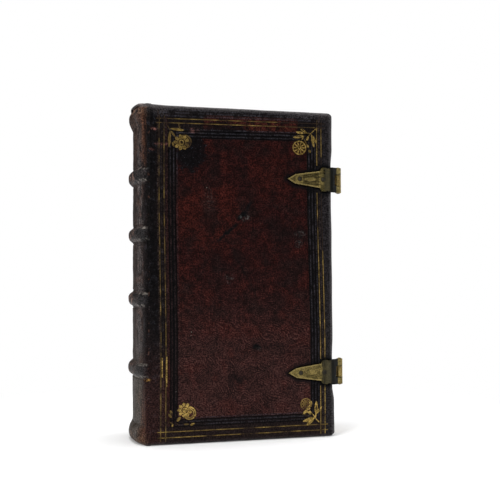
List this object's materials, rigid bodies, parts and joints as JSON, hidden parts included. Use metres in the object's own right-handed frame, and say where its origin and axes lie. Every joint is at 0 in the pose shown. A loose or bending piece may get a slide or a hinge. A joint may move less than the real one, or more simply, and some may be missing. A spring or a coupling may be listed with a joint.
{
  "type": "antique leather book",
  "caption": "Thick little full-leather book with raised bands on a rounded spine, gilt and blind tooled boards and brass hook clasps at the fore-edge.",
  "frame": {"origin": "middle of the bounding box on the surface that the book stands on, midway between the outermost band and the hook of the clasps and between the two covers", "axes": "+Z from tail to head, +X from the spine to the fore-edge, -Y towards the front cover"},
  "size_m": [0.0976, 0.0378, 0.15],
  "materials": {
    "pages": "matt, yellowed edges",
    "spine_lining": "coarse",
    "endband_thread": "wound thread, faded",
    "sewing_cord": "twisted hemp",
    "spine_leather": "worn, grained",
    "board_wood": "plain oak",
    "cover_leather": "mottled, fine grain, satin",
    "pastedown_paper": "matt, aged",
    "gold_leaf": "worn gold leaf",
    "clasp_brass": "cast and engraved, dull patina",
    "pin_brass": "dull",
    "rivet_brass": "dark patina"
  },
  "bodies": {
    "book_block": {"text_block": "pages", "spine_lining": "spine_lining", "headband": "endband_thread", "tailband": "endband_thread", "sewing_cord_1": "sewing_cord", "sewing_cord_2": "sewing_cord", "sewing_cord_3": "sewing_cord", "sewing_cord_4": "sewing_cord", "spine_leather": "spine_leather"},
    "front_cover": {"front_board": "board_wood", "front_leather": "cover_leather", "front_pastedown": "pastedown_paper", "front_slips": "sewing_cord", "front_gilding": "gold_leaf", "upper_hinge_plate": "clasp_brass", "lower_hinge_plate": "clasp_brass", "upper_hinge_pin": "pin_brass", "lower_hinge_pin": "pin_brass", "upper_hinge_rivets": "rivet_brass", "lower_hinge_rivets": "rivet_brass"},
    "back_cover": {"back_board": "board_wood", "back_leather": "cover_leather", "back_pastedown": "pastedown_paper", "back_slips": "sewing_cord", "back_gilding": "gold_leaf", "upper_catch_plate": "clasp_brass", "lower_catch_plate": "clasp_brass", "upper_catch_bar": "pin_brass", "lower_catch_bar": "pin_brass", "upper_catch_rivets": "rivet_brass", "lower_catch_rivets": "rivet_brass"},
    "upper_clasp_arm": {"upper_clasp": "clasp_brass"},
    "lower_clasp_arm": {"lower_clasp": "clasp_brass"}
  },
  "joints": [
    {"name": "front_cover_hinge", "type": "hinge", "parent": "book_block", "child": "front_cover", "pos_m": [-0.04278, -0.018, 0], "axis": [0, 0, -1], "range_deg": [0, 170]},
    {"name": "back_cover_hinge", "type": "hinge", "parent": "book_block", "child": "back_cover", "pos_m": [-0.04278, 0.018, 0], "axis": [0, 0, 1], "range_deg": [0, 170]},
    {"name": "upper_clasp_hinge", "type": "hinge", "parent": "front_cover", "child": "upper_clasp_arm", "pos_m": [0.04722, -0.01578, 0.1185], "axis": [0, 0, -1], "range_deg": [-3, 180]},
    {"name": "lower_clasp_hinge", "type": "hinge", "parent": "front_cover", "child": "lower_clasp_arm", "pos_m": [0.04722, -0.01578, 0.0295], "axis": [0, 0, -1], "range_deg": [-3, 180]}
  ]
}
